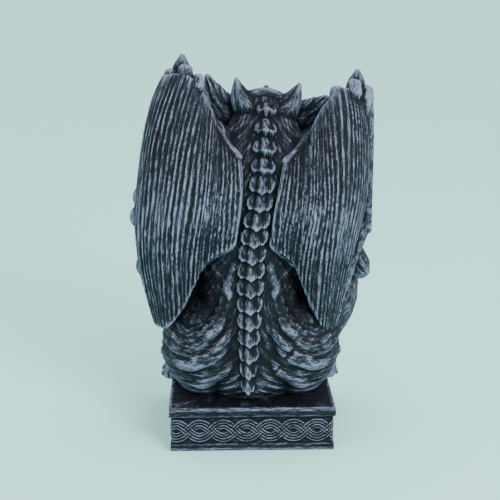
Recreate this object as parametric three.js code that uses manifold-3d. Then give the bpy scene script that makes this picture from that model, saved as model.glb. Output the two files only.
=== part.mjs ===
// Gargoyle figurine: a winged beast squatting on a square plinth with a band of interlaced straps.
// Millimetres, +Z up. The beast faces -Y, its left side is at +X, and the origin is the centre of
// the plinth's underside.

import * as THREE from "three";
import { mergeVertices } from "three/addons/utils/BufferGeometryUtils.js";
import Module from "manifold-3d";

const wasm = await Module();
wasm.setup();

// Plinth
const PLINTH_SIDE = 88; // across the top moulding
const PLINTH_HEIGHT = 24;
const TOP_MOULDING = 4.8; // height of the plain band at the top
const FOOT_MOULDING = 4.2; // height of the plain band at the bottom
const PANEL_RECESS = 1.6; // how far the knotwork panel lies behind the top moulding
const FOOT_INSET = 0.7; // how far the foot moulding lies behind the top moulding
const CHAMFER = 0.8;

// Interlace on each side of the plinth
const KNOT_PITCH = 12.4; // from one crossing to the next
const KNOT_SHIFT = 3.2; // how far the crossing nearest the middle is off it
const KNOT_REACH = 3; // crossings on each side of that one
const KNOT_MARGIN = 1.2; // plain strip at each end of the panel
const STRAP_WIDTH = 1.7;
const STRAP_RISE = 0.8;
const STRAP_SINK = 0.1; // how far a strap is rooted in the panel

// Beast. Its pose is written in 180ths of its height, so a pose number is a millimetre at 180 mm.
const BEAST_HEIGHT = 180;
const unit = BEAST_HEIGHT / 180;
const LEAN_DEG = 5; // the upper body leans to the beast's right
const LEAN_FROM = 0.305; // share of the height where the lean starts
const LEAN_FULL = 0.667; // share of the height where it is complete
const WING_THICKNESS = 4.2;
const WING_RIDGES = 11;
const WING_RIDGE_RISE = 1.3;
const WING_ROWS = 5;
const WING_FRONT_POINTS = 4;
const PLATE_COUNT = 17;
const PLATE_LENGTH = 13.5;
const PLATE_HALF_WIDTH = 7;

const stone = new THREE.MeshStandardMaterial({ color: 0x39424d, roughness: 0.72, metalness: 0 });

const { sin, cos, abs, sqrt, min, max, PI } = Math;
const smooth = (low, high, v) => THREE.MathUtils.smoothstep(v, low, high);
const vec = (p) => new THREE.Vector3(p[0], p[1], p[2]);

// Closed skins

// A three.js geometry as a closed solid that faces outwards.
function solid(geometry) {
  geometry.deleteAttribute("normal");
  geometry.deleteAttribute("uv");
  const skin = mergeVertices(geometry, 1e-4);
  const triVerts = new Uint32Array(skin.index.array);
  const make = () =>
    new wasm.Manifold(
      new wasm.Mesh({ numProp: 3, vertProperties: skin.attributes.position.array, triVerts }),
    );
  const made = make();
  if (made.volume() > 0) return made;
  for (let i = 0; i < triVerts.length; i += 3) {
    [triVerts[i + 1], triVerts[i + 2]] = [triVerts[i + 2], triVerts[i + 1]];
  }
  return make();
}

// The geometry with each vertex moved to where place(x, y, z) says.
function reshape(geometry, place) {
  const spots = geometry.attributes.position;
  for (let i = 0; i < spots.count; i++) {
    const p = place(spots.getX(i), spots.getY(i), spots.getZ(i));
    spots.setXYZ(i, p.x, p.y, p.z);
  }
  return geometry;
}

const CAP = 0.6; // height of a limb's end cap, as a share of its radius

const join = (solids) => solids.reduce((whole, next) => whole.add(next));

// An egg-shaped lump with its middle at `centre`, half sizes `half` and a turn in degrees.
function lump(centre, half, { turn = [0, 0, 0], around = 10, rows = 7, relief = null } = {}) {
  const euler = new THREE.Euler(...turn.map(THREE.MathUtils.degToRad));
  const place = new THREE.Matrix4().compose(
    vec(centre),
    new THREE.Quaternion().setFromEuler(euler),
    vec(half),
  );
  return solid(
    reshape(new THREE.SphereGeometry(1, around, rows), (x, y, z) => {
      const p = new THREE.Vector3(x, y, z).applyMatrix4(place);
      if (!relief) return p;
      const out = new THREE.Vector3(x / half[0], y / half[1], z / half[2]);
      return p.addScaledVector(out.applyEuler(euler).normalize(), relief(p));
    }),
  );
}

// A round limb through `points`, with a radius at each and a blunt cap at both ends. `flat`
// squeezes it across the direction `ref`.
function limb(points, radii, { around = 7, rows = 6, flat = 1, ref = [0, 1, 0] } = {}) {
  const path = new THREE.CatmullRomCurve3(points.map(vec));
  const last = radii.length - 1;
  return solid(
    reshape(new THREE.SphereGeometry(1, around, rows), (x, y, z) => {
      const row = Math.round((Math.acos(THREE.MathUtils.clamp(y, -1, 1)) / PI) * rows);
      const t = THREE.MathUtils.clamp((row - 1) / (rows - 2), 0, 1);
      const i = min(last - 1, Math.floor(t * last));
      const radius = THREE.MathUtils.lerp(radii[i], radii[i + 1], t * last - i);
      const along = path.getTangent(t);
      const p = path.getPoint(t);
      if (row === 0) return p.addScaledVector(along, -radius * CAP);
      if (row === rows) return p.addScaledVector(along, radius * CAP);
      const angle = Math.atan2(z, x);
      const across = new THREE.Vector3().crossVectors(along, vec(ref)).normalize();
      const out = new THREE.Vector3().crossVectors(across, along);
      p.addScaledVector(across, cos(angle) * radius * flat);
      return p.addScaledVector(out, sin(angle) * radius);
    }),
  );
}

// A claw, horn or tooth: a limb that narrows to a point.
const spike = (points, radius, options = {}) =>
  limb(points, [radius, radius * 0.75, radius * 0.2], { around: 5, rows: 5, ...options });

// The beast's body

// Rings of the torso from the seat to the head: height, depth of the middle, half width, half depth
const TORSO = [
  [-14, 8, 24, 20],
  [6, 9, 32, 26],
  [28, 8, 33, 28],
  [52, 10, 29, 24],
  [78, 9, 29, 22],
  [104, 8, 30, 22],
  [121, 5, 31, 21],
  [136, -2, 22, 19],
  [148, -9, 16, 15],
  [158, -16, 9, 8],
];

function torso() {
  const middle = new THREE.CatmullRomCurve3(TORSO.map(([z, y]) => new THREE.Vector3(0, y, z)));
  const girth = new THREE.CatmullRomCurve3(TORSO.map(([, , a, b]) => new THREE.Vector3(a, b, 0)));
  return solid(
    reshape(new THREE.SphereGeometry(1, 12, 12), (x, y, z) => {
      const t = 1 - Math.acos(THREE.MathUtils.clamp(y, -1, 1)) / PI;
      const round = min(1, 1.65 * sqrt(max(0, sin(PI * t))));
      const out = new THREE.Vector3(x, 0, z).normalize();
      const size = girth.getPoint(t);
      const p = middle.getPoint(t);
      p.x += out.x * size.x * round;
      p.y += out.z * size.y * round;
      return p;
    }),
  );
}

// Middle, half width and half depth of the torso at a height.
function torsoAt(z) {
  const i = min(TORSO.length - 1, max(1, TORSO.findIndex((ring) => ring[0] >= z)));
  const [low, high] = [TORSO[i - 1], TORSO[i]];
  const share = (z - low[0]) / (high[0] - low[0]);
  return [1, 2, 3].map((k) => THREE.MathUtils.lerp(low[k], high[k], share));
}

// Depth of the back along the spine.
function backDepth(z) {
  const [middle, , deep] = torsoAt(z);
  return middle + deep;
}

// Depth of the back anywhere, with the haunches.
const HAUNCH = { at: [23, 10, 26], half: [25, 27, 29] };

function backSkin(x, z) {
  const [middle, wide, deep] = torsoAt(z);
  const body = middle + deep * sqrt(max(0, 1 - (x / wide) ** 2));
  const [a, b, c] = HAUNCH.half;
  const off = ((x - HAUNCH.at[0]) / a) ** 2 + ((z - HAUNCH.at[2]) / c) ** 2;
  return max(body, HAUNCH.at[1] + b * sqrt(max(0, 1 - off)));
}

// Folds of hide on one side of the back, which hang from the spine and sweep round the hip. Each is
// a strip laid on the skin along a line of x and z, with its radius.
const FOLDS = [
  [[[6, 116], [14, 100], [21, 86], [27, 70]], 4.6],
  [[[4, 88], [10, 66], [15, 47], [24, 37], [36, 33]], 5.2],
  [[[5, 60], [11, 40], [21, 27], [34, 21], [46, 23]], 5],
  [[[5, 33], [14, 18.3], [26, 11.4], [37, 10]], 4.6],
  [[[39, 62], [34, 53], [27, 45]], 5.4],
];

function folds(side) {
  return FOLDS.map(([line, radius]) => {
    const sink = (k) => radius * (k % (line.length - 1) ? 0.6 : 1);
    const points = line.map(([x, z], k) => [side * x, backSkin(x, z) - sink(k), z]);
    const swell = [0.6, 1, 1, 0.6].map((share) => share * radius);
    return limb(points, swell, { around: 4, rows: line.length + 1, ref: [1, 0, 1] });
  });
}

// One haunch with thigh, shin and a clawed foot. side is 1 on the beast's left and -1 on its right.
const KNEE_OUT = { 1: 44, "-1": 52 };
const TOES = [-9, 0, 9]; // how far each toe is splayed

function leg(side) {
  const knee = KNEE_OUT[side];
  const at = (x, y, z) => [side * x, y, z];
  const parts = [
    lump(at(...HAUNCH.at), HAUNCH.half, { around: 10, rows: 6 }),
    limb([at(28, 9, 32), at(knee * 0.88, -8, 43), at(knee, -24, 50)], [18.5, 13, 10], { around: 6, rows: 5 }),
    limb([at(knee, -24, 47), at(41, -20, 26), at(39, -25, 5)], [9.5, 7.5, 6.5], { around: 5, rows: 4 }),
    lump(at(39, -28, 3), [8.5, 13, 6], { around: 6, rows: 4 }),
  ];
  for (const splay of TOES) {
    const x = 38.5 + splay * 0.75;
    const tip = 38.5 + splay * 0.8;
    const front = -49 + abs(splay) * 0.35;
    parts.push(spike([at(x, -30, 3), at((x + tip) / 2, -40, 6.5), at(tip, front, 1)], 5.4, { ref: [0, 0, 1] }));
  }
  // the outer toes that grip the plinth's edge
  for (const y of [-5, -14]) parts.push(lump(at(43.5, y, 3), [5, 4, 4.6], { around: 5, rows: 3 }));
  parts.push(lump(at(37, -14, 4), [9, 16, 6], { around: 5, rows: 4 }));
  return parts;
}

// One arm, its hand on the knee. The beast's right elbow stands out beyond the wing.
const ELBOW = { 1: [51, -4, 66], "-1": [61, -9, 63] };

function arm(side) {
  const at = (x, y, z) => [side * x, y, z];
  const elbow = at(...ELBOW[side]);
  const wrist = at(47, -33, 58);
  const parts = [
    limb([at(20, 0, 116), at(36, -1, 100), elbow], [14, 11, 6.5], { around: 6, rows: 4 }),
    lump(at(30, 4, 76), [14, 13, 28], { around: 6, rows: 5 }),
    limb([elbow, at(57, -20, 61), wrist], [6.5, 6.5, 4.5], { around: 5, rows: 4, ref: [0, 0, 1] }),
    lump(at(46, -36, 56), [7, 6.5, 5.5], { around: 5, rows: 4 }),
  ];
  for (const spread of [-4.6, 0, 4.6]) {
    const x = 46 + spread;
    parts.push(spike([at(x, -36, 58), at(x, -42, 53), at(x, -40, 42)], 3.2, { rows: 4, ref: [1, 0, 0] }));
  }
  return parts;
}

// Wings

// Where each ridge of the folded wing starts and ends, from the front edge to the root, and how
// far it bows out between them.
const WING_TOP = [[53, 0, 161], [50, 9, 166], [39.5, 13, 166], [30, 16, 153], [23.5, 20, 139], [11, 25, 127]];
const WING_FOOT = [[47, 8, 42], [47, 17, 34], [42, 25, 37], [32, 31, 58], [22, 33, 78], [9, 31, 85]];
const FINGER = [3, 2.8, 3.4, 2.8, 2];
const WING_BOW = [[9, -6, 0], [9, 9, 0], [5, 17, 0], [0, 16, 0], [-1, 10, 0], [-1, 4, 0]];
const [wingTop, wingFoot, wingBow] = [WING_TOP, WING_FOOT, WING_BOW].map(
  (points) => new THREE.CatmullRomCurve3(points.map(vec)),
);

// A point of the wing's middle sheet: s runs from the front edge to the root, t from top to foot.
function wingSheet(s, t) {
  const p = wingTop.getPoint(s).lerp(wingFoot.getPoint(s), t);
  return p.addScaledVector(wingBow.getPoint(s), sin(PI * t ** 0.88));
}

function wingNormal(s, t) {
  const step = 0.01;
  const [s0, s1, t0, t1] = [max(0, s - step), min(1, s + step), max(0, t - step), min(1, t + step)];
  const across = wingSheet(s1, t).sub(wingSheet(s0, t));
  const down = wingSheet(s, t1).sub(wingSheet(s, t0));
  return across.cross(down).normalize();
}

// The wing on the beast's right is folded closer.
const WING_SPREAD = { 1: 1.05, "-1": 0.92 };

function wing(side) {
  const at = (x, y, z) => [side * x * WING_SPREAD[side], y, z];
  // cross-section: the ridged back from the front edge to the root, then the smooth front
  const section = new THREE.Shape();
  const edge = (s) => (WING_THICKNESS / unit / 2) * (0.62 + 0.38 * sin(PI * s) ** 0.5);
  for (let i = 0; i <= WING_RIDGES * 2; i++) {
    const s = i / (WING_RIDGES * 2);
    const uneven = 0.75 + 0.5 * sin(s * 40) ** 2;
    section.lineTo(s, -edge(s) - (i % 2) * (WING_RIDGE_RISE / unit) * uneven);
  }
  for (let i = WING_FRONT_POINTS; i >= 0; i--) section.lineTo(i / WING_FRONT_POINTS, edge(i / WING_FRONT_POINTS));
  section.closePath();
  const blank = new THREE.ExtrudeGeometry(section, { depth: 1, steps: WING_ROWS, bevelEnabled: false });
  const sheet = reshape(blank, (s, rise, t) => {
    const p = wingSheet(s, t).addScaledVector(wingNormal(s, t), rise);
    p.x *= side * WING_SPREAD[side];
    return p;
  });
  return [
    solid(sheet),
    // the arm of the wing, on its front, from shoulder to wrist
    limb([at(17, 10, 122), at(30, 8, 142), at(46, 6, 163)], [9, 6, 5.5], { around: 5, rows: 4 }),
    // the finger that runs down the front edge, with two knuckles
    limb([at(53, 1, 163), at(58.5, -4, 128), at(62, -5, 96), at(55, 0, 66), at(47, 8, 44)], FINGER, {
      around: 4,
      rows: 7,
    }),
    lump(at(63, -5, 100), [3.8, 4, 4.4], { around: 5, rows: 3 }),
    lump(at(63, -5, 90), [4.2, 4, 5], { around: 5, rows: 3 }),
    // the knuckles on top and the thumb claw in front of them
    lump(at(51.5, 4, 161), [5.2, 5.5, 8], { around: 5, rows: 3 }),
    lump(at(44, 7.6, 163.4), [5.4, 6.2, 9], { around: 6, rows: 3 }),
    lump(at(side > 0 ? 37 : 34.8, 10.9, 161.4), [4.6, 5.5, 8.4], { around: 5, rows: 3 }),
    limb([at(45, 4, 158), at(46, 1, 168), at(46, 3, 175.5)], [6.8, 5.6, 3], { around: 5, rows: 4, ref: [1, 0, 0] }),
  ];
}

// Plates along the spine, each one a shield with a keel, its point standing off the next plate.
const PLATE_DRIFT = 2.4; // how far the lowest plate is off the middle, to the beast's left
const PLATES_FROM = 11;
const PLATES_TO = 152;
const PLATE_TIP_DEG = 15; // how far a plate's point stands off the back
const PLATE_RISE = 4.6;
const PLATE_LIFT = 2;
// outline of a plate: share of its length, share of its half width
const PLATE_OUTLINE = [[0, 0], [0.16, 0.66], [0.64, 1], [1, 0]];

function spinePlates() {
  const parts = [];
  for (let i = 0; i < PLATE_COUNT; i++) {
    const share = i / (PLATE_COUNT - 1);
    const z = THREE.MathUtils.lerp(PLATES_FROM, PLATES_TO, share);
    const size = (0.72 + 0.35 * sin(PI * (0.12 + 0.8 * share))) / unit;
    const slope = Math.atan2(backDepth(min(156, z + 4)) - backDepth(z - 4), 8);
    const rows = PLATE_OUTLINE.length - 1;
    const shield = reshape(new THREE.SphereGeometry(1, 6, rows), (x, y, z) => {
      const [down, wide] = PLATE_OUTLINE[Math.round((Math.acos(y) / PI) * rows)];
      const angle = Math.atan2(z, x);
      const across = wide * PLATE_HALF_WIDTH;
      const out = (wide > 0 ? cos(angle) * (0.75 + 0.25 * down) : 0.35 * down) * PLATE_RISE;
      return new THREE.Vector3(sin(angle) * across, (down - 0.5) * PLATE_LENGTH, out);
    });
    shield.scale(size, size, size).rotateX(THREE.MathUtils.degToRad(PLATE_TIP_DEG) - PI / 2 - slope);
    const drift = PLATE_DRIFT * max(0, 1 - z / 110);
    parts.push(solid(shield.translate(drift, backDepth(z) + PLATE_LIFT, z)));
  }
  return parts;
}

// Head, looking ahead over the front of the plinth

function head() {
  const upright = { ref: [0, 0, 1] };
  const parts = [
    lump([0, -15, 147], [17, 17, 13], { around: 9, rows: 6 }),
    limb([[0, -22, 146], [0, -34, 142], [0, -45, 138]], [13, 10.5, 7.5], { rows: 4, ...upright }),
    limb([[0, -20, 136], [0, -32, 130], [0, -43, 128]], [10, 7, 4.6], { around: 6, rows: 4, ...upright }),
    lump([0, -49, 141], [5, 4, 3.6], { around: 5, rows: 3 }),
    // crest between the horns and the point in its middle
    limb([[-13, -8, 154], [0, -10, 157], [13, -8, 154]], [3.4, 3, 3.4], { around: 4, rows: 4 }),
    spike([[0, -14, 154], [0, -16, 158], [0, -18, 162]], 6.5, { around: 4, rows: 4 }),
  ];
  for (const side of [-1, 1]) {
    const at = (x, y, z) => [side * x, y, z];
    const earTip = side > 0 ? 166 : 160;
    parts.push(
      // horn, ear, brow, cheek and lower fang
      limb([at(10, -9, 151), at(14, -8, 157), at(17, -6, 166)], [8.6, 5.6, 1], { around: 5, rows: 4 }),
      limb([at(13, -13, 142), at(24, -13, 150), at(33, -11, earTip)], [9.5, 10, 1.4], {
        around: 5,
        rows: 5,
        flat: 0.34,
        ref: [1, 0, -1],
      }),
      limb([at(4, -33, 150), at(9, -30, 154), at(15, -22, 152)], [2.8, 3.8, 3], { around: 4, rows: 4 }),
      lump(at(12, -25, 140), [5, 7, 5], { around: 5, rows: 4 }),
      spike([at(6, -37, 129), at(7.5, -39, 133), at(8, -40, 138)], 2.2, { around: 4, rows: 3, ref: [1, 0, 0] }),
    );
  }
  return parts;
}

// Chest and belly in front
const front = () => [
  lump([0, -8, 100], [20, 14, 20], { around: 7, rows: 5 }),
  lump([0, -9, 62], [18, 15, 24], { around: 7, rows: 5 }),
];

// The lean of the upper body, as one bend of the upright beast.
function lean(p) {
  const [from, full] = [180 * LEAN_FROM, 180 * LEAN_FULL];
  const turn = THREE.MathUtils.degToRad(LEAN_DEG) * smooth(from, full, p.z);
  const rise = p.z - from;
  const above = max(0, rise);
  return new THREE.Vector3(
    (p.x * cos(turn) - above * sin(turn)) * unit,
    p.y * unit,
    (p.x * sin(turn) + from + (rise > 0 ? rise * cos(turn) : rise)) * unit + PLINTH_HEIGHT,
  );
}

function beast() {
  const parts = [torso(), ...front(), ...head(), ...spinePlates()];
  for (const side of [-1, 1]) {
    parts.push(...leg(side), ...folds(side), ...arm(side), ...wing(side));
  }
  const under = new THREE.BoxGeometry(300, 300, 60).translate(0, 0, -30);
  const skins = join(parts).subtract(solid(under)).decompose();
  // the largest skin is the beast's outside; the others are pockets sealed between joined lumps
  return skins.reduce((whole, skin) => (skin.volume() > whole.volume() ? skin : whole));
}

// Plinth

// The block's outline from the axis out, as a square lathe: each radius is half a side.
function plinthBlock() {
  const half = PLINTH_SIDE / 2;
  const [foot, panel] = [half - FOOT_INSET, half - PANEL_RECESS];
  const [panelLow, panelHigh] = [FOOT_MOULDING, PLINTH_HEIGHT - TOP_MOULDING];
  const outline = [
    [0, 0],
    [foot - CHAMFER, 0],
    [foot, CHAMFER],
    [foot, panelLow - CHAMFER / 2],
    [panel, panelLow],
    [panel, panelHigh - CHAMFER],
    [half, panelHigh],
    [half, PLINTH_HEIGHT - CHAMFER / 2],
    [half - CHAMFER / 2, PLINTH_HEIGHT],
    [0, PLINTH_HEIGHT],
  ].map(([r, z]) => new THREE.Vector2(r * Math.SQRT2, z));
  return solid(new THREE.LatheGeometry(outline, 4).rotateX(PI / 2).rotateZ(PI / 4));
}

// One raised bar of strap with a ridge along it, in panel coordinates: middle, direction, length.
function strap(x, z, dx, dz, long) {
  const bar = new THREE.CylinderGeometry(1, 1, long, 3, 1).rotateZ(PI / 2);
  bar.translate(0, 0, 0.5).scale(1, STRAP_WIDTH / sqrt(3), (STRAP_RISE + STRAP_SINK) / 1.5);
  return solid(bar.rotateZ(Math.atan2(dz, dx)).translate(x, z, -STRAP_SINK));
}

// The interlace of one side, lying in the plane z = 0 with its rise upwards. Straps cross in rows;
// at each crossing only the strap on top shows, so the pattern is one bar for each crossing, with
// the outer straps turning back along the panel's edges.
function interlace() {
  const width = PLINTH_SIDE - 2 * (PANEL_RECESS + KNOT_MARGIN);
  const high = PLINTH_HEIGHT - TOP_MOULDING - FOOT_MOULDING - CHAMFER;
  const row = high / 6;
  const slant = Math.hypot(KNOT_PITCH / 4, row);
  const bars = [];
  const lay = (x, z, turn) => {
    if (abs(x) < (width - KNOT_PITCH / 4) / 2) bars.push(strap(x, z, KNOT_PITCH / 4, turn * row, slant * 1.3));
  };
  for (let i = -KNOT_REACH; i <= KNOT_REACH; i++) {
    const x = KNOT_SHIFT + i * KNOT_PITCH;
    for (const shift of [-KNOT_PITCH / 5, KNOT_PITCH / 5]) lay(x + shift, 0, -1);
    for (const level of [-1, 1]) lay(x, level * row * 1.25, 1);
  }
  for (const level of [-1, 1]) bars.push(strap(0, level * row * 2.45, 1, 0, width));
  return bars;
}

function plinth() {
  let whole = plinthBlock();
  const middle = (FOOT_MOULDING + PLINTH_HEIGHT - TOP_MOULDING - CHAMFER) / 2;
  for (let quarter = 0; quarter < 4; quarter++) {
    for (const bar of interlace()) {
      const face = bufferOf(bar.getMesh())
        .rotateX(PI / 2)
        .translate(0, -(PLINTH_SIDE / 2 - PANEL_RECESS), middle)
        .rotateZ((quarter * PI) / 2);
      whole = whole.add(solid(face));
    }
  }
  return whole;
}

// Back to three.js

function bufferOf(mesh) {
  const spots = new Float32Array(mesh.numVert * 3);
  for (let i = 0; i < mesh.numVert; i++) {
    spots.set(mesh.vertProperties.subarray(i * mesh.numProp, i * mesh.numProp + 3), i * 3);
  }
  return new THREE.BufferGeometry()
    .setAttribute("position", new THREE.BufferAttribute(spots, 3))
    .setIndex(new THREE.BufferAttribute(new Uint32Array(mesh.triVerts), 1));
}

function piece(name, geometry) {
  geometry.computeVertexNormals();
  const mesh = new THREE.Mesh(geometry, stone);
  mesh.name = name;
  return mesh;
}

const figurine = new THREE.Group();
const leaning = reshape(bufferOf(beast().getMesh()), (x, y, z) => lean(new THREE.Vector3(x, y, z)));
figurine.add(piece("gargoyle", leaning));
figurine.add(piece("plinth", bufferOf(plinth().getMesh())));

export default figurine;
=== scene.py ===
"""A winged gargoyle squatting on a knotwork plinth, as one dark cast brushed with pale stone paint.

The beast is modelled upright in millimetres above the plinth's top, from closed shapes that a voxel
remesh melts into one skin. The skin is then carved, cut flat under the feet and leaned to one side.
"""

import logging
import math
from dataclasses import dataclass, field
from enum import Enum

import bmesh
import bpy
import numpy as np
from mathutils import Euler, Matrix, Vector
from mathutils.bvhtree import BVHTree


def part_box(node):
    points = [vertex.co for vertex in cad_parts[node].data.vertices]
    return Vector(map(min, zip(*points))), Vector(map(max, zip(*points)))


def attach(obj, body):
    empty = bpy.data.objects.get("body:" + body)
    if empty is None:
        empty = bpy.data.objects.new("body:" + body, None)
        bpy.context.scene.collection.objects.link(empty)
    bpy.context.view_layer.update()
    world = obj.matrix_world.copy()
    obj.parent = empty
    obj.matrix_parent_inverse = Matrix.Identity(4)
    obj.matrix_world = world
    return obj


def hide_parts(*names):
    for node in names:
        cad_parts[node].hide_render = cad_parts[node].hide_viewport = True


log = logging.getLogger("scene")
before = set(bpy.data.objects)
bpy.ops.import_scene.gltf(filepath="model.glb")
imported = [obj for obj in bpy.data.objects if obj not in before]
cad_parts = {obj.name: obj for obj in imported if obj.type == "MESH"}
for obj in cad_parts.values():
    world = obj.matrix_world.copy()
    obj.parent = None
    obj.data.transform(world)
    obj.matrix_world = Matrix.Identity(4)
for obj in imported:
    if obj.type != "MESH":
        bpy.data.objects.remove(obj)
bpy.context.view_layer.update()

MM = 0.001
# how much the large forms count against the small ones when paint is brushed on
COARSE_WEIGHT = 0.18
Points = np.ndarray
Triple = tuple[float, float, float]


class Side(Enum):
    """The beast's own left and right."""

    LEFT = 1
    RIGHT = -1

    def at(self, x: float, y: float, z: float) -> Triple:
        """The place given for the left side, on this side."""
        return (self.value * x, y, z)


class Kind(Enum):
    """How a part of the skin is carved. The value is the material index while it is being built."""

    BODY = 0
    HIDE = 1
    WING = 2
    HORN = 3
    PLATE = 4
    BARE = 5


def smooth(low: float, high: float, value: Points) -> Points:
    """The share of the way from low to high, eased at both ends.

    Args:
        low: Value where the share is 0.
        high: Value where the share is 1.
        value: Values to look up.

    Returns:
        Shares from 0 to 1, in the shape of value.
    """
    share = np.clip((value - low) / (high - low), 0, 1)
    return share * share * (3 - 2 * share)


def noise(u: Points, v: Points, seed: int = 0) -> Points:
    """Smooth random values over a plane, about one bump for each unit.

    Args:
        u: First coordinates.
        v: Second coordinates.
        seed: Number that picks the pattern.

    Returns:
        Values from -1 to 1.
    """
    i, j = np.floor(u).astype(np.int64), np.floor(v).astype(np.int64)
    fu, fv = u - i, v - j
    fu, fv = fu * fu * (3 - 2 * fu), fv * fv * (3 - 2 * fv)

    def lattice(a: Points, b: Points) -> Points:
        """Random values at whole-number places."""
        mix = (a * 374761393 + b * 668265263 + seed * 974634777) & 0x7FFFFFFF
        mix = ((mix ^ (mix >> 13)) * 1274126177) & 0x7FFFFFFF
        return ((mix ^ (mix >> 16)) & 0xFFFF) / 32767.5 - 1

    low = lattice(i, j) * (1 - fu) + lattice(i + 1, j) * fu
    high = lattice(i, j + 1) * (1 - fu) + lattice(i + 1, j + 1) * fu
    return low * (1 - fv) + high * fv


def spline(points: list[Triple], share: Points) -> Points:
    """Places on a smooth curve through some points.

    Args:
        points: Points that the curve passes through.
        share: Shares of the way along, each stretch between two points counting the same.

    Returns:
        One row for each share.
    """
    knots = np.array(points, float)
    knots = np.vstack([2 * knots[0] - knots[1], knots, 2 * knots[-1] - knots[-2]])
    step = np.clip(np.asarray(share, float), 0, 1) * (len(points) - 1)
    i = np.minimum(step.astype(int), len(points) - 2)
    w = (step - i)[:, None]
    p0, p1, p2, p3 = (knots[i + k] for k in range(4))
    spans = ((p0, p1), (p1, p2), (p2, p3))
    d0, d1, d2 = (np.maximum(np.linalg.norm(b - a, axis=1), 1e-4)[:, None] ** 0.5 for a, b in spans)
    m1 = ((p1 - p0) / d0 - (p2 - p0) / (d0 + d1) + (p2 - p1) / d1) * d1
    m2 = ((p2 - p1) / d1 - (p3 - p1) / (d1 + d2) + (p3 - p2) / d2) * d1
    near = (2 * w**3 - 3 * w**2 + 1) * p1 + (w**3 - 2 * w**2 + w) * m1
    return near + (3 * w**2 - 2 * w**3) * p2 + (w**3 - w**2) * m2


def unit(rows: Points) -> Points:
    """Each row as a vector of length 1."""
    return rows / np.maximum(np.linalg.norm(rows, axis=1), 1e-9)[:, None]


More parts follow.
